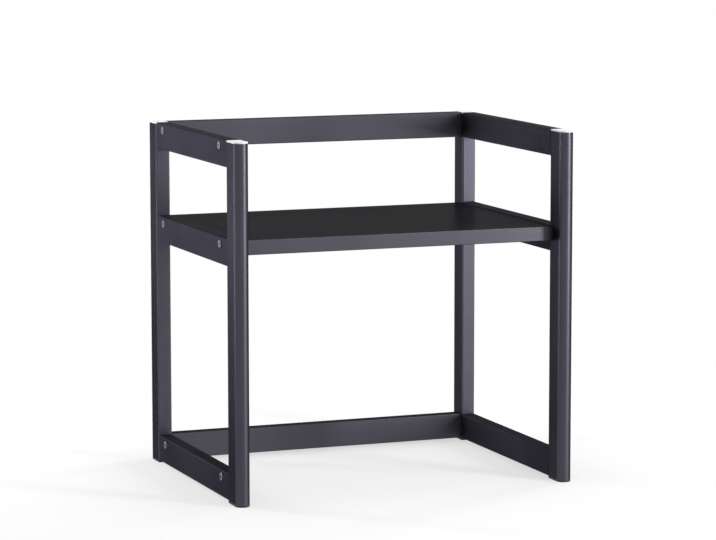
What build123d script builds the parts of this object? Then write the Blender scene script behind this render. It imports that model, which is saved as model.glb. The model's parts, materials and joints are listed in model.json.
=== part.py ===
from build123d import *
import os

os.makedirs("parts", exist_ok=True)

# Two-tier countertop stand of aluminium extrusions, in millimetres.
# The origin is on the floor at the middle of the footprint. +X is right, +Y is back, +Z is up.

# overall sizes
stand_width = 540.0  # over the outer sides of the posts
stand_depth = 420.0  # front tip of a front post to back tip of a rear post
stand_height = 536.5  # floor to the tops of the post caps and the top rails
middle_rail_top = 391.5  # floor to the top of the middle side rails
bottom_rail_top = 43.5  # floor to the top of the bottom rails

# post tube: a D with its round end to the front or back
post_width = 22.0
post_depth = 42.0
post_wall = 1.4
post_corner = 2.0  # the two corners of the flat end
least_corner = 0.3  # of the same outline inside the tube

# rail tube: the same extrusion for side and rear rails
rail_height = 40.0
rail_inset = 1.0  # step from the post's outer side in to the rail's outer face
rail_wall = 1.4
rail_corner = 1.2

# post cap and foot pad
cap_rim = 2.2
cap_edge = 0.8  # rounding of the rim's upper edge
pad_thickness = 3.0
pad_edge = 0.6
plug_depth = 7.0
plug_wall = 1.6
plug_play = 0.2  # between a plug and the tube around it

# connector block in each rail end
connector_length = 45.0
connector_play = 0.2
connector_base = 8.0  # solid stretch between the screw head and the post
connector_lead = 1.0  # chamfer of the end that enters the rail
lead_angle = 30.0
peg_diameter = 4.6
peg_length = 1.1
peg_inset = 5.5  # peg's centre in from the block's upper or lower face

# bolts, screws and nuts
bolt_diameter = 6.0
bolt_inset = 33.0  # from the rail's end to the bolt
bolt_drop = 10.0  # from the rail's top to the bolt
head_diameter = 12.0
head_thickness = 1.6
head_bevel = 0.5
head_bevel_angle = 45.0
head_socket = 4.0  # across the flats
head_socket_depth = 2.6
screw_head_diameter = 10.0
screw_head_height = 6.0
screw_socket = 5.0
screw_socket_depth = 3.0
tip_length = 1.5  # thread that stands past its nut
hole_play = 0.6  # a clearance hole is wider than its bolt by this
thread_play = 0.2  # a threaded hole is drawn wider than its bolt by this
overcut = 1.0  # a hole's cut runs past its wall by this
nut_width = 10.0
nut_thickness = 4.0
nut_play = 0.3
plate_width = 14.0
plate_height = 20.0
plate_thickness = 3.0

# shelf
shelf_setback = 30.0  # front tip of a front post to the shelf's front face
shelf_drop = 1.5  # top of a middle rail down to the top of the shelf
shelf_end_play = 0.25  # between the ends of the front and rear edge rails and the posts
edge_height = 22.0
edge_box = 14.0  # width of an edge rail's box part
edge_lip = 6.0  # reach of its groove over and under the panel
edge_wall = 1.4
edge_corner = 1.0
lip_thickness = 1.2
panel_thickness = 1.2
panel_play = 0.2
field_play = 0.4  # gap around the panel's raised field, to the edge rails' lips
field_edge = 0.6  # rounding of the field's upper edge
bracket_leg = 20.0
bracket_thickness = 2.0
bracket_height = 14.0
stiffener_count = 2
stiffener_spacing = 160.0
stiffener_width = 24.0
stiffener_height = 14.0
stiffener_wall = 1.2
foam_width = 16.0
shelf_plate_height = 12.0

# blind rivets
rivet_diameter = 4.0
rivet_head_diameter = 8.0
rivet_head_height = 1.2
rivet_head_angle = 30.0
rivet_bulb_diameter = 6.0
rivet_bulb_length = 2.5

# places worked out from the sizes above
tube_top = stand_height - cap_rim
rail_thickness = post_width - rail_inset  # so the rail's inner face is flush with the post's
post_x = stand_width / 2 - post_width / 2
post_inner_x = stand_width / 2 - post_width
post_y = stand_depth / 2 - post_depth / 2
post_face_y = stand_depth / 2 - post_depth  # the posts' flat ends, where the side rails butt
rail_x = post_inner_x + rail_thickness / 2
rear_rail_y = stand_depth / 2 - (post_depth + post_width / 2) / 2  # middle of the flat side
shelf_top = middle_rail_top - shelf_drop
shelf_bottom = shelf_top - edge_height
shelf_y = stand_depth / 2 - shelf_setback
groove_top = shelf_top - lip_thickness
groove_bottom = groove_top - panel_thickness - panel_play
ledge_bottom = groove_bottom - edge_wall
box_inner_x = post_inner_x - edge_box
box_inner_y = shelf_y - edge_box
edge_inner_y = box_inner_y - edge_lip
field_x = box_inner_x - edge_lip - field_play
field_y = edge_inner_y - field_play
field_bottom = shelf_top - panel_thickness
connector_width = rail_thickness - 2 * rail_wall - 2 * connector_play
connector_height = rail_height - 2 * rail_wall - 2 * connector_play
clear_hole = (bolt_diameter + hole_play) / 2
thread_hole = (bolt_diameter + thread_play) / 2
peg_hole = (peg_diameter + hole_play) / 2
rivet_hole = (rivet_diameter + thread_play) / 2
peg_rise = connector_height / 2 - peg_inset
bracket_z = (shelf_bottom + edge_wall + ledge_bottom) / 2
first_stiffener_x = -stiffener_spacing * (stiffener_count - 1) / 2
stiffener_places = [first_stiffener_x + stiffener_spacing * index for index in range(stiffener_count)]

# a captive nut lies in its pocket, against the rail's inner wall
nut_far_side = rail_thickness - rail_wall - connector_play
nut_depth = nut_far_side - nut_thickness
rail_bolt_length = nut_far_side - 2 * connector_play
shelf_bolt_length = rail_thickness + edge_wall + plate_thickness + tip_length

sides = {"left": -1, "right": 1}
ends = {"front": -1, "rear": 1}
levels = {"top": stand_height, "middle": middle_rail_top, "bottom": bottom_rail_top}
rear_levels = {"top": stand_height, "bottom": bottom_rail_top}


def save(builder, name):
    builder.part.label = name
    export_step(builder.part, f"parts/{name}.step")


# A joint is the plane where a rail meets its post: Z runs along the rail, X to its inner side.
def side_joint(side, end, level_top):
    place = (side * rail_x, end * post_face_y, level_top - rail_height / 2)
    return Plane(origin=place, x_dir=(-side, 0, 0), z_dir=(0, -end, 0))


def rear_joint(side, level_top):
    place = (side * post_inner_x, rear_rail_y, level_top - rail_height / 2)
    return Plane(origin=place, x_dir=(0, -1, 0), z_dir=(-side, 0, 0))


# The plane under a bolt's head, on the rail's outer face, with Z pointing outwards.
def bolt_seat(joint):
    rise = Vector(0, 0, rail_height / 2 - bolt_drop)
    place = joint.origin + joint.z_dir * bolt_inset - joint.x_dir * rail_thickness / 2 + rise
    return Plane(origin=place, x_dir=(0, 0, 1), z_dir=-joint.x_dir)


def post_plane(side, end, height):
    return Plane(origin=(side * post_x, end * post_y, height), x_dir=(-end, 0, 0), z_dir=(0, 0, 1))


# The post's outline, drawn smaller by a margin. Its round end points to local -Y.
def post_outline(margin, mode=Mode.ADD):
    half_width = post_width / 2 - margin
    flat_y = post_depth / 2 - margin
    round_y = post_width / 2 - post_depth / 2
    corner = max(post_corner - margin, least_corner)
    with BuildLine() as outline:
        CenterArc((0, round_y), half_width, 180, 180)
        Line((half_width, round_y), (half_width, flat_y - corner))
        CenterArc((half_width - corner, flat_y - corner), corner, 0, 90)
        Line((half_width - corner, flat_y), (corner - half_width, flat_y))
        CenterArc((corner - half_width, flat_y - corner), corner, 90, 90)
        Line((-half_width, flat_y - corner), (-half_width, round_y))
    make_face(outline.edges(), mode=mode)


def joints_of_post(side, end):
    joints = [side_joint(side, end, level_top) for level_top in levels.values()]
    if end > 0:
        joints += [rear_joint(side, level_top) for level_top in rear_levels.values()]
    return joints


def make_post(name, side, end):
    with BuildPart() as post:
        with BuildSketch(post_plane(side, end, pad_thickness)):
            post_outline(0)
            post_outline(post_wall, Mode.SUBTRACT)
        extrude(amount=tube_top - pad_thickness)
        for joint in joints_of_post(side, end):
            with BuildSketch(joint):
                Circle(clear_hole)
                with Locations((0, peg_rise), (0, -peg_rise)):
                    Circle(peg_hole)
            extrude(amount=-(post_wall + overcut), mode=Mode.SUBTRACT)
    save(post, f"{name}_post")


def make_post_cap(name, side, end):
    with BuildPart() as cap:
        with BuildSketch(post_plane(side, end, tube_top)):
            post_outline(0)
        extrude(amount=cap_rim)
        fillet(cap.faces().sort_by(Axis.Z)[-1].edges(), cap_edge)
        with BuildSketch(post_plane(side, end, tube_top)):
            post_outline(post_wall + plug_play)
            post_outline(post_wall + plug_play + plug_wall, Mode.SUBTRACT)
        extrude(amount=-plug_depth)
    save(cap, f"{name}_post_cap")


def make_foot_pad(name, side, end):
    with BuildPart() as pad:
        with BuildSketch(post_plane(side, end, 0)):
            post_outline(0)
        extrude(amount=pad_thickness)
        fillet(pad.faces().sort_by(Axis.Z)[0].edges(), pad_edge)
        with BuildSketch(post_plane(side, end, pad_thickness)):
            post_outline(post_wall + plug_play)
            post_outline(post_wall + plug_play + plug_wall, Mode.SUBTRACT)
        extrude(amount=plug_depth)
    save(pad, f"{name}_foot_pad")


# A rail runs from its first joint to its second. The middle rails are drilled right through.
def make_rail(name, first, second, drilled_through=False):
    length = (second.origin - first.origin).length
    depth = rail_thickness if drilled_through else rail_thickness / 2
    with BuildPart() as rail:
        with BuildSketch(first) as section:
            Rectangle(rail_thickness, rail_height)
            fillet(section.vertices(), rail_corner)
            Rectangle(rail_thickness - 2 * rail_wall, rail_height - 2 * rail_wall, mode=Mode.SUBTRACT)
        extrude(amount=length)
        for joint in (first, second):
            with BuildSketch(bolt_seat(joint)):
                Circle(clear_hole)
            extrude(amount=-depth, mode=Mode.SUBTRACT)
    save(rail, name)


def make_connectors(name, joints):
    with BuildPart() as connectors:
        for joint in joints:
            free_end = joint.offset(connector_length)
            with BuildSketch(joint):
                Rectangle(connector_width, connector_height)
            extrude(amount=connector_length - connector_lead)
            with BuildSketch(free_end.offset(-connector_lead)):
                Rectangle(connector_width, connector_height)
            extrude(amount=connector_lead, taper=lead_angle)
            with BuildSketch(joint):
                with Locations((0, peg_rise), (0, -peg_rise)):
                    Circle(peg_diameter / 2)
            extrude(amount=-peg_length)
            with BuildSketch(joint):
                Circle(clear_hole)
            extrude(amount=connector_length, mode=Mode.SUBTRACT)
            with BuildSketch(joint.offset(connector_base)):
                Circle(screw_head_diameter / 2 + nut_play)
            extrude(amount=connector_length, mode=Mode.SUBTRACT)
            with BuildSketch(bolt_seat(joint)):
                Circle(clear_hole)
            extrude(amount=-rail_thickness, mode=Mode.SUBTRACT)
            with BuildSketch(bolt_seat(joint).offset(-nut_depth)):
                Rectangle(nut_width + nut_play, nut_width + nut_play)
            extrude(amount=-rail_thickness, mode=Mode.SUBTRACT)
    save(connectors, name)


def make_nuts(name, joints):
    with BuildPart() as nuts:
        for joint in joints:
            with BuildSketch(bolt_seat(joint).offset(-nut_depth)):
                Rectangle(nut_width, nut_width)
                Circle(thread_hole, mode=Mode.SUBTRACT)
            extrude(amount=-nut_thickness)
    save(nuts, name)


def make_bolts(name, joints, length):
    with BuildPart() as bolts:
        for joint in joints:
            seat = bolt_seat(joint)
            with BuildSketch(seat):
                Circle(head_diameter / 2)
            extrude(amount=head_thickness - head_bevel)
            with BuildSketch(seat.offset(head_thickness - head_bevel)):
                Circle(head_diameter / 2)
            extrude(amount=head_bevel, taper=head_bevel_angle)
            with BuildSketch(seat):
                Circle(bolt_diameter / 2)
            extrude(amount=-length)
            with BuildSketch(seat.offset(head_thickness)):
                RegularPolygon(head_socket / 2, 6, major_radius=False)
            extrude(amount=-head_socket_depth, mode=Mode.SUBTRACT)
    save(bolts, name)


def make_connector_screws(name, joints):
    shank = connector_base + post_wall + plate_thickness + tip_length
    with BuildPart() as screws:
        for joint in joints:
            seat = joint.offset(connector_base)
            with BuildSketch(seat):
                Circle(screw_head_diameter / 2)
            extrude(amount=screw_head_height)
            with BuildSketch(seat):
                Circle(bolt_diameter / 2)
            extrude(amount=-shank)
            with BuildSketch(seat.offset(screw_head_height)):
                RegularPolygon(screw_socket / 2, 6, major_radius=False)
            extrude(amount=-screw_socket_depth, mode=Mode.SUBTRACT)
    save(screws, name)


def make_post_nut_plates(name, joints):
    with BuildPart() as plates:
        for joint in joints:
            with BuildSketch(joint.offset(-post_wall)):
                Rectangle(plate_width, plate_height)
                Circle(thread_hole, mode=Mode.SUBTRACT)
            extrude(amount=-plate_thickness)
    save(plates, name)


# An edge rail of the shelf: a box with a groove for the panel on its inner side.
# Local X runs inwards from the outer face and local Y is up, from the rail's lower face.
def make_edge_rail(name, plane, length, cuts):
    groove_low = groove_bottom - shelf_bottom
    groove_high = groove_top - shelf_bottom
    ledge_low = ledge_bottom - shelf_bottom
    reach = edge_box + edge_lip
    with BuildPart() as edge:
        with BuildSketch(plane) as section:
            with BuildLine():
                Polyline(
                    (0, 0),
                    (edge_box, 0),
                    (edge_box, ledge_low),
                    (reach, ledge_low),
                    (reach, groove_low),
                    (edge_box, groove_low),
                    (edge_box, groove_high),
                    (reach, groove_high),
                    (reach, edge_height),
                    (0, edge_height),
                    close=True,
                )
            make_face()
            fillet(section.vertices().filter_by_position(Axis.X, -1, edge_wall / 2), edge_corner)
            with Locations((edge_box / 2, edge_height / 2)):
                Rectangle(edge_box - 2 * edge_wall, edge_height - 2 * edge_wall, mode=Mode.SUBTRACT)
        extrude(amount=length)
        for cut_plane, radius in cuts:
            with BuildSketch(cut_plane):
                Circle(radius)
            extrude(amount=-(edge_wall + overcut), mode=Mode.SUBTRACT)
    save(edge, name)


# Rivet planes lie on the face under the rivet's head, with Z pointing to the head.
def bracket_rivets(side, end):
    corner_x = side * box_inner_x
    corner_y = end * box_inner_y
    reach = bracket_leg - rivet_head_diameter / 2 - bracket_thickness
    on_cross_rail = Plane(
        origin=(corner_x - side * reach, corner_y - end * bracket_thickness, bracket_z),
        x_dir=(1, 0, 0),
        z_dir=(0, -end, 0),
    )
    on_side_rail = Plane(
        origin=(corner_x - side * bracket_thickness, corner_y - end * reach, bracket_z),
        x_dir=(0, 1, 0),
        z_dir=(-side, 0, 0),
    )
    return on_cross_rail, on_side_rail


def stiffener_rivet(x, end):
    place = (x, end * (box_inner_y - stiffener_wall), ledge_bottom - stiffener_height / 2)
    return Plane(origin=place, x_dir=(1, 0, 0), z_dir=(0, -end, 0))


def make_shelf_edges():
    for end_name, end in ends.items():
        cuts = []
        for side in sides.values():
            cuts.append((bracket_rivets(side, end)[0].offset(-bracket_thickness), rivet_hole))
        for x in stiffener_places:
            cuts.append((stiffener_rivet(x, end).offset(-stiffener_wall), rivet_hole))
        half_length = post_inner_x - shelf_end_play
        plane = Plane(
            origin=(end * half_length, end * shelf_y, shelf_bottom),
            x_dir=(0, -end, 0),
            z_dir=(-end, 0, 0),
        )
        make_edge_rail(f"shelf_{end_name}_edge", plane, 2 * half_length, cuts)
    for side_name, side in sides.items():
        cuts = []
        for end in ends.values():
            cuts.append((bracket_rivets(side, end)[1].offset(-bracket_thickness), rivet_hole))
            seat = bolt_seat(side_joint(side, end, middle_rail_top))
            cuts.append((seat.offset(-rail_thickness), clear_hole))
        plane = Plane(
            origin=(side * post_inner_x, -side * edge_inner_y, shelf_bottom),
            x_dir=(-side, 0, 0),
            z_dir=(0, side, 0),
        )
        make_edge_rail(f"shelf_{side_name}_edge", plane, 2 * edge_inner_y, cuts)


# One pressed sheet: its rim lies in the grooves, and its field is level with the edge rails' tops.
def make_shelf_panel():
    with BuildPart() as panel:
        with BuildSketch(Plane.XY.offset(groove_bottom)):
            Rectangle(2 * (box_inner_x - panel_play), 2 * (box_inner_y - panel_play))
        extrude(amount=panel_thickness)
        with BuildSketch(Plane.XY.offset(groove_bottom)):
            Rectangle(2 * field_x, 2 * field_y)
        extrude(amount=shelf_top - groove_bottom)
        fillet(panel.faces().sort_by(Axis.Z)[-1].edges(), field_edge)
        with BuildSketch(Plane.XY.offset(groove_bottom)):
            Rectangle(2 * (field_x - panel_thickness), 2 * (field_y - panel_thickness))
        extrude(amount=field_bottom - groove_bottom, mode=Mode.SUBTRACT)
    save(panel, "shelf_panel")


def make_stiffener(name, x):
    with BuildPart() as stiffener:
        with BuildSketch(Plane.XY.offset(ledge_bottom)):
            with Locations((x, 0)):
                Rectangle(stiffener_width, 2 * box_inner_y)
        extrude(amount=-stiffener_height)
        with BuildSketch(Plane.XY.offset(ledge_bottom - stiffener_wall)):
            with Locations((x, 0)):
                Rectangle(stiffener_width - 2 * stiffener_wall, 2 * (box_inner_y - stiffener_wall))
        extrude(amount=-stiffener_height, mode=Mode.SUBTRACT)
        for end in ends.values():
            with BuildSketch(stiffener_rivet(x, end)):
                Circle(rivet_hole)
            extrude(amount=-stiffener_wall, mode=Mode.SUBTRACT)
    save(stiffener, name)


def make_foam_strips():
    with BuildPart() as strips:
        with BuildSketch(Plane.XY.offset(ledge_bottom)):
            with Locations([(x, 0) for x in stiffener_places]):
                Rectangle(foam_width, 2 * (field_y - panel_thickness - panel_play))
        extrude(amount=field_bottom - ledge_bottom)
    save(strips, "shelf_foam_strips")


def make_bracket(name, side, end):
    corner_x = side * box_inner_x
    corner_y = end * box_inner_y
    with BuildPart() as bracket:
        with BuildSketch(Plane.XY.offset(bracket_z - bracket_height / 2)):
            with BuildLine():
                Polyline(
                    (corner_x, corner_y),
                    (corner_x - side * bracket_leg, corner_y),
                    (corner_x - side * bracket_leg, corner_y - end * bracket_thickness),
                    (corner_x - side * bracket_thickness, corner_y - end * bracket_thickness),
                    (corner_x - side * bracket_thickness, corner_y - end * bracket_leg),
                    (corner_x, corner_y - end * bracket_leg),
                    close=True,
                )
            make_face()
        extrude(amount=bracket_height)
        for rivet in bracket_rivets(side, end):
            with BuildSketch(rivet):
                Circle(rivet_hole)
            extrude(amount=-bracket_thickness, mode=Mode.SUBTRACT)
    save(bracket, name)


# Each rivet clamps a sheet of the given thickness to an edge rail's wall.
def make_rivets(name, rivets):
    with BuildPart() as made:
        for plane, sheet in rivets:
            with BuildSketch(plane):
                Circle(rivet_head_diameter / 2)
            extrude(amount=rivet_head_height, taper=rivet_head_angle)
            with BuildSketch(plane):
                Circle(rivet_diameter / 2)
            extrude(amount=-(sheet + edge_wall))
            with BuildSketch(plane.offset(-(sheet + edge_wall))):
                Circle(rivet_bulb_diameter / 2)
            extrude(amount=-rivet_bulb_length)
    save(made, name)


def make_shelf_nut_plates(joints):
    with BuildPart() as plates:
        for joint in joints:
            with BuildSketch(bolt_seat(joint).offset(-rail_thickness - edge_wall)):
                Rectangle(shelf_plate_height, plate_width)
                Circle(thread_hole, mode=Mode.SUBTRACT)
            extrude(amount=-plate_thickness)
    save(plates, "shelf_nut_plates")


# the two side frames
for end_name, end in ends.items():
    for side_name, side in sides.items():
        corner = f"{end_name}_{side_name}"
        make_post(corner, side, end)
        make_post_cap(corner, side, end)
        make_foot_pad(corner, side, end)
        make_post_nut_plates(f"{corner}_post_nut_plates", joints_of_post(side, end))

for side_name, side in sides.items():
    clamped = []
    for level_name, level_top in levels.items():
        front = side_joint(side, ends["front"], level_top)
        rear = side_joint(side, ends["rear"], level_top)
        rail_name = f"{side_name}_{level_name}_rail"
        holds_shelf = level_name == "middle"
        make_rail(rail_name, front, rear, drilled_through=holds_shelf)
        make_connectors(f"{rail_name}_connectors", (front, rear))
        if not holds_shelf:
            clamped += [front, rear]
    make_bolts(f"{side_name}_rail_bolts", clamped, rail_bolt_length)
    make_nuts(f"{side_name}_rail_nuts", clamped)

# the rear rails between them
rear_clamped = []
for level_name, level_top in rear_levels.items():
    left = rear_joint(sides["left"], level_top)
    right = rear_joint(sides["right"], level_top)
    make_rail(f"rear_{level_name}_rail", left, right)
    make_connectors(f"rear_{level_name}_rail_connectors", (left, right))
    rear_clamped += [left, right]
make_bolts("rear_rail_bolts", rear_clamped, rail_bolt_length)
make_nuts("rear_rail_nuts", rear_clamped)

for end_name, end in ends.items():
    screwed = []
    for side in sides.values():
        screwed += joints_of_post(side, end)
    make_connector_screws(f"{end_name}_connector_screws", screwed)

# the shelf
make_shelf_edges()
make_shelf_panel()
for index, x in enumerate(stiffener_places):
    make_stiffener(f"shelf_stiffener_{index + 1}", x)
make_foam_strips()

shelf_joints = []
rivets = []
for end_name, end in ends.items():
    for side_name, side in sides.items():
        make_bracket(f"shelf_{end_name}_{side_name}_bracket", side, end)
        shelf_joints.append(side_joint(side, end, middle_rail_top))
        rivets += [(plane, bracket_thickness) for plane in bracket_rivets(side, end)]
    rivets += [(stiffener_rivet(x, end), stiffener_wall) for x in stiffener_places]
make_rivets("shelf_rivets", rivets)
make_shelf_nut_plates(shelf_joints)
make_bolts("shelf_bolts", shelf_joints, shelf_bolt_length)
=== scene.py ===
import json
import math

import bpy
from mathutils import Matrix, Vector


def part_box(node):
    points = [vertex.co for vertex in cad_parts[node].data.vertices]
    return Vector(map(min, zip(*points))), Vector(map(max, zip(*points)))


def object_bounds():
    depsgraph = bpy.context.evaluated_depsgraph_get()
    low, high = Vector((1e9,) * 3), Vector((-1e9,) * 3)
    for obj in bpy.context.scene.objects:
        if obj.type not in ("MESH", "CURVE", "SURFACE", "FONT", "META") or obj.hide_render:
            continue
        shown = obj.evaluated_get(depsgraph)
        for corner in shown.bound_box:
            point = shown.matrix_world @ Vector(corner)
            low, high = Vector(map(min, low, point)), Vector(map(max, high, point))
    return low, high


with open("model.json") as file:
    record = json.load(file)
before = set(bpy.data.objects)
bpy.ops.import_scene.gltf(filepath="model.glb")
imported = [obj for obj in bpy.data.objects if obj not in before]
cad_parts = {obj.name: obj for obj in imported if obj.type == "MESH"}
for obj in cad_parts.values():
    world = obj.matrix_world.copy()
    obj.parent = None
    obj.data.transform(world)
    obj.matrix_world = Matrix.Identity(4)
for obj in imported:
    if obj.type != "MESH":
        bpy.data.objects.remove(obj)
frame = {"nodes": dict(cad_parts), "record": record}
cadLow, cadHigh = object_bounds()
print("frame loaded,", len(frame["nodes"]), "nodes")

mm = 0.001


def hexColour(text):  # sRGB hex to the linear colour that Blender works in
    channels = [int(text[i:i + 2], 16) / 255 for i in (1, 3, 5)]
    linear = [c / 12.92 if c <= 0.04045 else ((c + 0.055) / 1.055) ** 2.4 for c in channels]
    return (*linear, 1.0)


# An input is a plain value, a hex colour, a socket, or a node whose first output is meant.
def addNode(tree, kind, settings=None, inputs=None):
    node = tree.nodes.new(kind)
    for name, value in (settings or {}).items():
        setattr(node, name, value)
    for name, value in (inputs or {}).items():
        if isinstance(value, bpy.types.Node):
            value = value.outputs[0]
        if isinstance(value, bpy.types.NodeSocket):
            tree.links.new(value, node.inputs[name])
        else:
            node.inputs[name].default_value = hexColour(value) if isinstance(value, str) else value
    return node


camera = {
    "place": (-1.7377, -4.46635, 0.94218),  # metres
    "turn": (90 - 7.4796, 0.04, -21.2745),  # degrees
    "lens": 157.58,  # mm
    "sensor": 36,  # mm wide
    "farthest": 100,  # metres that it sees
}


def makeCamera():
    data = bpy.data.cameras.new("camera")
    data.sensor_width = camera["sensor"]
    data.lens = camera["lens"]
    data.clip_end = camera["farthest"]
    holder = bpy.data.objects.new("camera", data)
    holder.location = camera["place"]
    holder.rotation_euler = [math.radians(turn) for turn in camera["turn"]]
    bpy.context.scene.collection.objects.link(holder)
    bpy.context.scene.camera = holder


makeCamera()

lamps = {  # azimuth in degrees from the front towards the right, lengths in metres, power in watts
    "keyStrip": {
        "azimuth": 40, "away": 3.0, "height": 0.9,
        "size": (0.5, 1.8), "power": 81, "colour": "#ffffff",
    },
    "backLeftSoft": {
        "azimuth": -152, "away": 2.8, "height": 0.45,
        "size": (1.4, 0.9), "power": 3.5, "colour": "#ffffff",
    },
    "bandStrip": {
        "azimuth": -123.6, "away": 1.38, "height": 0.5,
        "size": (0.16, 1.0), "power": 9.5, "colour": "#fbfaff",
    },
    "rimStrip": {
        "azimuth": 112, "away": 2.8, "height": 1.1,
        "size": (0.5, 2.0), "power": 26, "colour": "#ffffff",
    },
    "topSoft": {
        "azimuth": 150, "away": 0.6, "height": 3.0,
        "size": (2.0, 2.0), "power": 26, "colour": "#ffffff",
    },
}


def makeLamps():
    aim = (cadLow + cadHigh) / 2
    for name, lamp in lamps.items():
        data = bpy.data.lights.new(name, "AREA")
        data.shape = "RECTANGLE"
        data.size, data.size_y = lamp["size"]
        data.energy = lamp["power"]
        data.color = hexColour(lamp["colour"])[:3]
        holder = bpy.data.objects.new(name, data)
        turn = math.radians(lamp["azimuth"])
        place = Vector((math.sin(turn) * lamp["away"], -math.cos(turn) * lamp["away"], lamp["height"]))
        holder.location = place
        holder.rotation_euler = (aim - place).to_track_quat("-Z", "Y").to_euler()
        holder.visible_camera = False
        bpy.context.scene.collection.objects.link(holder)


makeLamps()

backdrop = {
    "lightStrength": 0.62,  # of the world, on what it lights
    "seenStrength": 1.0,  # of the world as a picture or a mirror sees it: plain white
}


# 1 where the camera, a mirror or glass looks at the surface, and 0 where the surface only gives light.
# The camera's share can be less, so that it still sees a shadow.
def seenDirectly(tree, cameraShare=1.0):
    rays = addNode(tree, "ShaderNodeLightPath")
    pictured = addNode(tree, "ShaderNodeMath", {"operation": "MULTIPLY"},
                       {0: rays.outputs["Is Camera Ray"], 1: cameraShare})
    mirrored = addNode(tree, "ShaderNodeMath", {"operation": "MAXIMUM"},
                       {0: rays.outputs["Is Glossy Ray"], 1: rays.outputs["Is Transmission Ray"]})
    return addNode(tree, "ShaderNodeMath", {"operation": "MAXIMUM"}, {0: pictured, 1: mirrored})


def makeBackdrop():
    world = bpy.data.worlds.new("studio")
    bpy.context.scene.world = world
    world.use_nodes = True
    tree = world.node_tree
    tree.nodes.clear()
    light = addNode(tree, "ShaderNodeBackground", None,
                    {"Color": "#ffffff", "Strength": backdrop["lightStrength"]})
    white = addNode(tree, "ShaderNodeBackground", None,
                    {"Color": "#ffffff", "Strength": backdrop["seenStrength"]})
    both = addNode(tree, "ShaderNodeMixShader", None, {"Fac": seenDirectly(tree), 1: light, 2: white})
    addNode(tree, "ShaderNodeOutputWorld", None, {"Surface": both})


makeBackdrop()

floorPaper = {
    "size": 24.0,  # metres
    "colour": "#e9e9ea",
    "nearGlow": 0.60,  # share of plain white that the camera sees under the stand
    "fadeFrom": 0.45,  # metres from the middle, where the paper starts to fade to plain white
    "fadeTo": 1.3,
}


def makeFloor():
    half = floorPaper["size"] / 2
    corners = [(-half, -half, 0), (half, -half, 0), (half, half, 0), (-half, half, 0)]
    mesh = bpy.data.meshes.new("floor")
    mesh.from_pydata(corners, [], [(0, 1, 2, 3)])
    floor = bpy.data.objects.new("floor", mesh)
    bpy.context.scene.collection.objects.link(floor)
    material = bpy.data.materials.new("studioPaper")
    material.use_nodes = True
    tree = material.node_tree
    tree.nodes.clear()
    place = addNode(tree, "ShaderNodeTexCoord").outputs["Object"]
    distance = addNode(tree, "ShaderNodeVectorMath", {"operation": "LENGTH"}, {0: place}).outputs["Value"]
    glow = addNode(tree, "ShaderNodeMapRange", {"interpolation_type": "SMOOTHSTEP"},
                   {"Value": distance, "From Min": floorPaper["fadeFrom"], "From Max": floorPaper["fadeTo"],
                    "To Min": floorPaper["nearGlow"], "To Max": 1.0})
    paper = addNode(tree, "ShaderNodeBsdfDiffuse", None, {"Color": floorPaper["colour"]})
    white = addNode(tree, "ShaderNodeEmission", None, {"Strength": 1.0})
    both = addNode(tree, "ShaderNodeMixShader", None, {"Fac": seenDirectly(tree, glow), 1: paper, 2: white})
    addNode(tree, "ShaderNodeOutputMaterial", None, {"Surface": both})
    mesh.materials.append(material)


makeFloor()
bpy.context.scene.view_settings.view_transform = "Standard"
print("camera, lamps, backdrop and floor made")

noiseSpan = (0.35, 0.65)  # most values of a noise pattern lie between these


def newMaterial(name, shaderInputs):
    material = bpy.data.materials.new(name)
    material.use_nodes = True
    tree = material.node_tree
    tree.nodes.clear()
    shader = addNode(tree, "ShaderNodeBsdfPrincipled", None, shaderInputs)
    addNode(tree, "ShaderNodeOutputMaterial", None, {"Surface": shader})
    place = addNode(tree, "ShaderNodeTexCoord").outputs["Object"]  # metres, in the stand's own frame
    return material, tree, shader, place


# Random grain whose blobs have the given real sizes along X, Y and Z.
def grain(tree, place, sizesMm, detail=2.0):
    stretch = [1 / (size * mm) for size in sizesMm]
    mapping = addNode(tree, "ShaderNodeMapping", None, {"Vector": place, "Scale": stretch})
    return addNode(tree, "ShaderNodeTexNoise", None, {"Vector": mapping, "Scale": 1.0, "Detail": detail})


def sizesAlong(axis, acrossMm, alongMm):
    return [alongMm if name == axis else acrossMm for name in "XYZ"]


# 1 on sharp edges and 0 on flats: how far a rounded normal leans from the real one.
def edgeMask(tree, radiusMm, softness):
    rounded = addNode(tree, "ShaderNodeBevel", {"samples": 4}, {"Radius": radiusMm * mm})
    real = addNode(tree, "ShaderNodeNewGeometry").outputs["Normal"]
    lean = addNode(tree, "ShaderNodeVectorMath", {"operation": "DOT_PRODUCT"}, {0: rounded, 1: real})
    return addNode(tree, "ShaderNodeMapRange", None,
                   {"Value": lean.outputs["Value"], "From Min": 1.0, "From Max": 1.0 - softness})


# One colour drifts into another where a pattern goes from the start to the end of the span.
def drift(tree, pattern, span, first, last):
    share = addNode(tree, "ShaderNodeMapRange", None,
                    {"Value": pattern, "From Min": span[0], "From Max": span[1]})
    return addNode(tree, "ShaderNodeMix", {"data_type": "RGBA"},
                   {"Factor": share, 6: first, 7: last}).outputs[2]


# What a finish ends with: its colour, a roughness that follows a pattern, and a fine relief.
def finishSurface(tree, shader, look, colour, pattern, relief):
    tree.links.new(colour, shader.inputs["Base Color"])
    low, high = noiseSpan
    first, last = look["roughness"]
    rough = addNode(tree, "ShaderNodeMapRange", None,
                    {"Value": pattern, "From Min": low, "From Max": high, "To Min": first, "To Max": last})
    tree.links.new(rough.outputs["Result"], shader.inputs["Roughness"])
    bump = addNode(tree, "ShaderNodeBump", None,
                   {"Height": relief, "Strength": look["bumpStrength"], "Distance": look["bumpMm"] * mm})
    tree.links.new(bump.outputs["Normal"], shader.inputs["Normal"])


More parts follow.
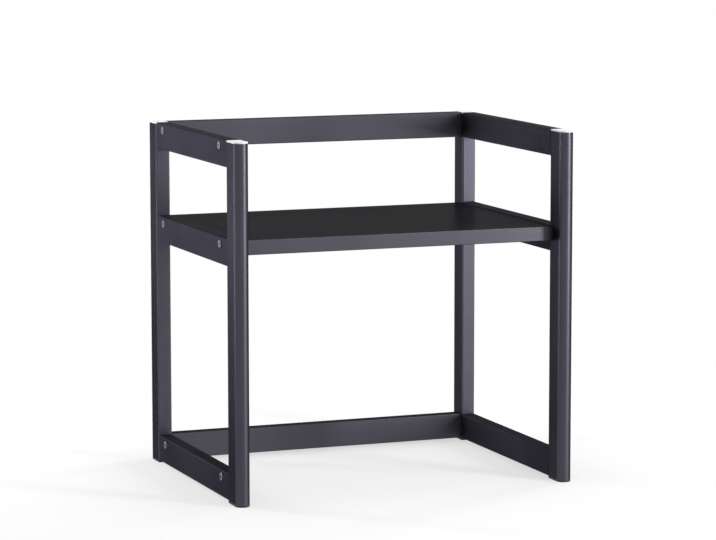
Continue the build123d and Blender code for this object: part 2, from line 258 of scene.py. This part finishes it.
gunmetal = {
    "worn": "#6b6a72",  # where hands and boxes have rubbed the edges
    "edgeMm": 0.8,
    "edgeSoftness": 0.25,
    "rubMm": 9.0,  # the rubbing comes in patches of about this size
    "rubSpan": (0.42, 0.68),
    "rubShare": (0.15, 0.8),  # from the least rubbed stretch of an edge to the most
    "lineMm": 0.9,  # real die lines are 0.1 to 0.3 mm apart, drawn coarser so that they show
    "lineLengthMm": 350,
    "cloudMm": 110,  # slow drift of tone from the dye bath
    "cloudShare": 0.4,  # of the tone, against the lines
    "toneSpan": (0.18, 0.82),
    "gritMm": 0.5,  # etched matt grain, drawn at twice its real size
    "cloudRoughness": 0.2,  # share of the cloud in the roughness, against the grit
    "lineRelief": 0.5,  # share of the lines in the relief, against the grit
    "bumpMm": 0.012,
    "bumpStrength": 0.4,
}

gunmetalPieces = {  # edge tint is how bright the metal stays when it is seen edge on
    "post": {"deep": "#3e3d45", "pale": "#4d4c55", "edgeTint": "#868678", "roughness": (0.35, 0.42)},
    # painted shade: a lower edge tint than the posts' keeps the rails' top faces dark when seen edge on
    "rail": {"deep": "#3b3a41", "pale": "#494850", "edgeTint": "#605f57", "roughness": (0.45, 0.54)},
    # painted shade: a near black edge tint keeps the shelf's top dark when seen edge on
    "shelf": {"deep": "#3f3e45", "pale": "#4d4d54", "edgeTint": "#34342d", "roughness": (0.34, 0.40)},
}


# Gunmetal anodised aluminium, extruded or rolled, etched and dyed: a dark metal with a soft satin
# gleam, faint lines along the way it was drawn, and paler rubbed edges.
def gunmetalAnodised(piece, axis):
    look = {**gunmetal, **gunmetalPieces[piece]}
    material, tree, shader, place = newMaterial(f"gunmetalAnodised_{piece}{axis}", {
        "Metallic": 1.0,
        "Specular Tint": look["edgeTint"],
    })
    lines = grain(tree, place, sizesAlong(axis, look["lineMm"], look["lineLengthMm"]), detail=4.0)
    cloud = grain(tree, place, [look["cloudMm"]] * 3)
    grit = grain(tree, place, [look["gritMm"]] * 3)
    tone = addNode(tree, "ShaderNodeMix", None, {"Factor": look["cloudShare"], "A": lines, "B": cloud})
    dyed = drift(tree, tone, look["toneSpan"], look["deep"], look["pale"])
    edges = edgeMask(tree, look["edgeMm"], look["edgeSoftness"])
    rub = grain(tree, place, [look["rubMm"]] * 3, detail=4.0)
    low, high = look["rubSpan"]
    least, most = look["rubShare"]
    patchy = addNode(tree, "ShaderNodeMapRange", None,
                     {"Value": rub, "From Min": low, "From Max": high, "To Min": least, "To Max": most})
    worn = addNode(tree, "ShaderNodeMath", {"operation": "MULTIPLY"}, {0: edges, 1: patchy})
    colour = addNode(tree, "ShaderNodeMix", {"data_type": "RGBA"},
                     {"Factor": worn, 6: dyed, 7: look["worn"]}).outputs[2]
    matt = addNode(tree, "ShaderNodeMix", None, {"Factor": look["cloudRoughness"], "A": grit, "B": cloud})
    relief = addNode(tree, "ShaderNodeMix", None, {"Factor": look["lineRelief"], "A": grit, "B": lines})
    finishSurface(tree, shader, look, colour, matt, relief)
    return material


millSheet = {
    "dull": "#a9aaad",
    "bright": "#c3c4c7",
    "rollMm": 1.5,  # roll lines, drawn at about three times their real width
    "rollLengthMm": 180,
    "smearMm": 35,
    "smearLengthMm": 105,
    "smearShare": 0.5,  # of the tone, against the roll lines
    "roughness": (0.46, 0.28),  # smoother where it is brighter
    "bumpMm": 0.01,
    "bumpStrength": 0.5,
}


# Mill-finish aluminium sheet, cold rolled and left bare: a pale grey metal with roll lines and smears.
def millAluminium():
    material, tree, shader, place = newMaterial("millAluminium", {"Metallic": 1.0})
    lines = grain(tree, place, sizesAlong("Y", millSheet["rollMm"], millSheet["rollLengthMm"]), detail=4.0)
    smear = grain(tree, place, sizesAlong("Y", millSheet["smearMm"], millSheet["smearLengthMm"]), detail=3.0)
    tone = addNode(tree, "ShaderNodeMix", None, {"Factor": millSheet["smearShare"], "A": lines, "B": smear})
    colour = drift(tree, tone, noiseSpan, millSheet["dull"], millSheet["bright"])
    finishSurface(tree, shader, millSheet, colour, smear, lines)
    return material


rivetHead = {
    "dull": "#b2b3b6",
    "bright": "#cfd0d3",
    "dentMm": 1.1,
    "roughness": (0.42, 0.25),  # smoother where it is brighter
    "bumpMm": 0.03,
    "bumpStrength": 0.6,
}


# Aluminium blind rivets, cold headed and set by a tool: bright, with the tool's soft dents.
def rivetAluminium():
    material, tree, shader, place = newMaterial("rivetAluminium", {"Metallic": 1.0})
    dents = grain(tree, place, [rivetHead["dentMm"]] * 3)
    colour = drift(tree, dents, noiseSpan, rivetHead["dull"], rivetHead["bright"])
    finishSurface(tree, shader, rivetHead, colour, dents, dents)
    return material


postCap = {
    "ior": 1.53,
    "clean": "#d6d7d9",
    "aged": "#cdccc8",  # a slight yellowing in patches
    "agedSpan": (0.4, 0.7),
    "seamShadeAndDust": "#a9a8a6",  # painted shade and dust in the seam above the tube
    "seamShadeAndDustShare": 0.6,
    "seamMm": 0.7,
    "cloudMm": 9,
    "peelMm": 1.4,  # orange peel of a moulded gloss face
    "roughness": (0.10, 0.24),
    "bumpMm": 0.015,
    "bumpStrength": 0.5,
}


# Glossy ABS, injection moulded: pale plastic with a clear gleam, faint orange peel, and painted shade with
# dust at its seam.
def glossyAbs():
    material, tree, shader, place = newMaterial("glossyAbs", {"IOR": postCap["ior"]})
    cloud = grain(tree, place, [postCap["cloudMm"]] * 3, detail=3.0)
    peel = grain(tree, place, [postCap["peelMm"]] * 3)
    plastic = drift(tree, cloud, postCap["agedSpan"], postCap["clean"], postCap["aged"])
    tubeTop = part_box("front_left_post")[1].z
    height = addNode(tree, "ShaderNodeSeparateXYZ", None, {"Vector": place}).outputs["Z"]
    # Painted shade with dust: the cap darkens over its lowest part, just above the tube.
    seam = addNode(tree, "ShaderNodeMapRange", None,
                   {"Value": height, "From Min": tubeTop + postCap["seamMm"] * mm, "From Max": tubeTop,
                    "To Min": 0.0, "To Max": postCap["seamShadeAndDustShare"]})
    colour = addNode(tree, "ShaderNodeMix", {"data_type": "RGBA"},
                     {"Factor": seam, 6: plastic, 7: postCap["seamShadeAndDust"]}).outputs[2]
    finishSurface(tree, shader, postCap, colour, cloud, peel)
    return material


footPad = {
    "ior": 1.52,
    "rubber": "#131315",
    "bloom": "#212123",  # grey bloom in patches
    "bloomSpan": (0.4, 0.7),
    "scuffed": "#3b3a39",  # the lowest edge, where the pad slides on a counter
    "scuffMm": 1.0,  # how high the scuffs reach
    "sparkMm": 0.6,  # spark-eroded grain, drawn at about twice its real size
    "cloudMm": 8,
    "roughness": (0.62, 0.86),
    "bumpMm": 0.05,
    "bumpStrength": 0.7,
}


# Moulded rubber, from a spark-eroded tool: a matt black with a fine pebbled grain and scuffed edge.
def mouldedRubber():
    material, tree, shader, place = newMaterial("mouldedRubber", {"IOR": footPad["ior"]})
    spark = grain(tree, place, [footPad["sparkMm"]] * 3)
    cloud = grain(tree, place, [footPad["cloudMm"]] * 3, detail=3.0)
    rubber = drift(tree, cloud, footPad["bloomSpan"], footPad["rubber"], footPad["bloom"])
    height = addNode(tree, "ShaderNodeSeparateXYZ", None, {"Vector": place}).outputs["Z"]
    low = addNode(tree, "ShaderNodeMapRange", None,
                  {"Value": height, "From Min": footPad["scuffMm"] * mm, "From Max": 0.0})
    scuff = addNode(tree, "ShaderNodeMath", {"operation": "MULTIPLY"}, {0: low, 1: cloud})
    colour = addNode(tree, "ShaderNodeMix", {"data_type": "RGBA"},
                     {"Factor": scuff, 6: rubber, 7: footPad["scuffed"]}).outputs[2]
    finishSurface(tree, shader, footPad, colour, spark, spark)
    return material


railPlug = {
    "ior": 1.53,
    "dark": "#151517",
    "fibre": "#2a2a2d",
    "fibreSpan": (0.45, 0.75),
    "fibreMm": 0.4,  # real fibres are about 0.01 mm thick, drawn much coarser so that they show
    "fibreLengthMm": 4,
    "roughness": (0.42, 0.6),
    "bumpMm": 0.03,
    "bumpStrength": 0.4,
}


# Glass-filled nylon, injection moulded: near black with short pale fibre streaks and a dull skin.
def mouldedNylon():
    material, tree, shader, place = newMaterial("mouldedNylon", {"IOR": railPlug["ior"]})
    sizes = sizesAlong("Y", railPlug["fibreMm"], railPlug["fibreLengthMm"])
    streaks = grain(tree, place, sizes, detail=3.0)
    colour = drift(tree, streaks, railPlug["fibreSpan"], railPlug["dark"], railPlug["fibre"])
    finishSurface(tree, shader, railPlug, colour, streaks, streaks)
    return material


foamStrip = {
    "ior": 1.4,
    "roughness": 0.92,
    # painted shade: the inside of each pit is darker than the walls around it
    "cell": "#19191a",
    "wall": "#303031",
    "cellMm": 1.0,
    "wallSpan": (0.25, 0.0),  # from a cell's inside to its wall, as a share of the cell
    "bumpMm": 0.3,
    "bumpStrength": 0.8,
}


# Closed cell foam, cut from a block: a dull charcoal whose opened cells show as small pits, painted darker
# inside than at their walls as painted shade.
def closedCellFoam():
    material, tree, shader, place = newMaterial("closedCellFoam", {
        "Roughness": foamStrip["roughness"],
        "IOR": foamStrip["ior"],
    })
    cells = addNode(tree, "ShaderNodeTexVoronoi", {"feature": "DISTANCE_TO_EDGE"},
                    {"Vector": place, "Scale": 1 / (foamStrip["cellMm"] * mm)})
    inside, onWall = foamStrip["wallSpan"]
    wall = addNode(tree, "ShaderNodeMapRange", None,
                   {"Value": cells, "From Min": inside, "From Max": onWall})
    colour = addNode(tree, "ShaderNodeMix", {"data_type": "RGBA"},
                     {"Factor": wall, 6: foamStrip["cell"], 7: foamStrip["wall"]}).outputs[2]
    tree.links.new(colour, shader.inputs["Base Color"])
    depth = foamStrip["bumpMm"] * mm
    bump = addNode(tree, "ShaderNodeBump", None,
                   {"Height": wall, "Strength": foamStrip["bumpStrength"], "Distance": depth})
    tree.links.new(bump.outputs["Normal"], shader.inputs["Normal"])
    return material


zinc = {
    "tintSpan": (0.38, 0.62),
    "speckMm": 0.6,  # plating grain, drawn at a few times its real size
    "edgeMm": 0.5,
    "edgeSoftness": 0.3,
    "bumpMm": 0.02,
    "bumpStrength": 0.5,
}

zincPieces = {  # sheared is the brighter metal on cut edges
    "zincSheet": {
        "blue": "#9aa6b2", "straw": "#b3aea0", "sheared": "#c9cbce", "tintMm": 14, "roughness": (0.28, 0.44),
    },
    "zincPlate": {
        "blue": "#a2abb5", "straw": "#b8b4a8", "sheared": "#cdcfd2", "tintMm": 6, "roughness": (0.22, 0.38),
    },
}


# Zinc-plated steel, electroplated and clear passivated: cool grey that drifts from blue to straw.
def zincPlated(name):
    look = {**zinc, **zincPieces[name]}
    material, tree, shader, place = newMaterial(name, {"Metallic": 1.0})
    tint = grain(tree, place, [look["tintMm"]] * 3, detail=3.0)
    speck = grain(tree, place, [look["speckMm"]] * 3)
    plated = drift(tree, tint, look["tintSpan"], look["blue"], look["straw"])
    edges = edgeMask(tree, look["edgeMm"], look["edgeSoftness"])
    colour = addNode(tree, "ShaderNodeMix", {"data_type": "RGBA"},
                     {"Factor": edges, 6: plated, 7: look["sheared"]}).outputs[2]
    finishSurface(tree, shader, look, colour, speck, speck)
    return material


boltHead = {
    "valley": "#74767a",
    "crest": "#8c8e92",
    "edgeTint": "#a6a6a8",
    "radiusMm": 6.0,
    "ringMm": 0.5,  # turning marks are nearer 0.1 mm apart, drawn so that they show
    "wobbleMm": 2.0,
    "wobbleShare": 0.5,  # of the tone, against the rings
    "roughness": (0.22, 0.36),
    "bumpMm": 0.008,
    "bumpStrength": 0.5,
}

boltAxes = {"left_rail_bolts": "X", "right_rail_bolts": "X", "shelf_bolts": "X", "rear_rail_bolts": "Y"}


# Turned steel, nickel plated: a bright grey head with fine rings around its own axis.
def turnedSteel(node):
    material, tree, shader, place = newMaterial(f"turnedSteel_{node}", {
        "Metallic": 1.0,
        "Specular Tint": boltHead["edgeTint"],
    })
    low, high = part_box(node)
    middle = (low + high) / 2
    reach = (high - low) / 2
    # Folded about the middle of the group, its bolts lie on one, whose centre is a radius in.
    flat = [0.0 if name == boltAxes[node] else 1.0 for name in "XYZ"]
    centre = [reach[i] - boltHead["radiusMm"] * mm for i in range(3)]
    folded = addNode(tree, "ShaderNodeVectorMath", {"operation": "SUBTRACT"}, {0: place, 1: middle})
    folded = addNode(tree, "ShaderNodeVectorMath", {"operation": "ABSOLUTE"}, {0: folded})
    folded = addNode(tree, "ShaderNodeVectorMath", {"operation": "SUBTRACT"}, {0: folded, 1: centre})
    folded = addNode(tree, "ShaderNodeVectorMath", {"operation": "MULTIPLY"}, {0: folded, 1: flat})
    radius = addNode(tree, "ShaderNodeVectorMath", {"operation": "LENGTH"}, {0: folded}).outputs["Value"]
    turns = addNode(tree, "ShaderNodeMath", {"operation": "MULTIPLY"},
                    {0: radius, 1: math.tau / (boltHead["ringMm"] * mm)})
    wave = addNode(tree, "ShaderNodeMath", {"operation": "SINE"}, {0: turns})
    rings = addNode(tree, "ShaderNodeMapRange", None, {"Value": wave, "From Min": -1.0})
    wobble = grain(tree, place, [boltHead["wobbleMm"]] * 3, detail=3.0)
    tone = addNode(tree, "ShaderNodeMix", None, {"Factor": boltHead["wobbleShare"], "A": rings, "B": wobble})
    colour = addNode(tree, "ShaderNodeMix", {"data_type": "RGBA"},
                     {"Factor": tone, 6: boltHead["valley"], 7: boltHead["crest"]}).outputs[2]
    finishSurface(tree, shader, boltHead, colour, wobble, rings)
    return material


slotMaterials = {
    "plain_aluminium": millAluminium(),
    "rivet_aluminium": rivetAluminium(),
    "cap_plastic": glossyAbs(),
    "pad_rubber": mouldedRubber(),
    "connector_nylon": mouldedNylon(),
    "foam": closedCellFoam(),
    "bracket_steel": zincPlated("zincSheet"),
    "zinc_steel": zincPlated("zincPlate"),
}
gunmetalMaterials = {}


def gunmetalOf(node):  # one material for each kind of piece and each way it was drawn or rolled
    low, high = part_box(node)
    size = high - low
    axis = "XYZ"[max(range(3), key=lambda i: size[i])]
    piece = "shelf" if node.startswith("shelf") else node.rsplit("_", 1)[1]
    if (piece, axis) not in gunmetalMaterials:
        gunmetalMaterials[piece, axis] = gunmetalAnodised(piece, axis)
    return gunmetalMaterials[piece, axis]


for part in frame["record"]["subparts"]:
    node, slotName = part["node"], part["material_slot"]
    if slotName == "gunmetal_aluminium":
        material = gunmetalOf(node)
    elif slotName == "bolt_steel":
        material = turnedSteel(node)
    else:
        material = slotMaterials[slotName]
    slots = frame["nodes"][node].data.materials
    slots.clear()
    slots.append(material)
print("finishes on,", len(bpy.data.materials), "materials")
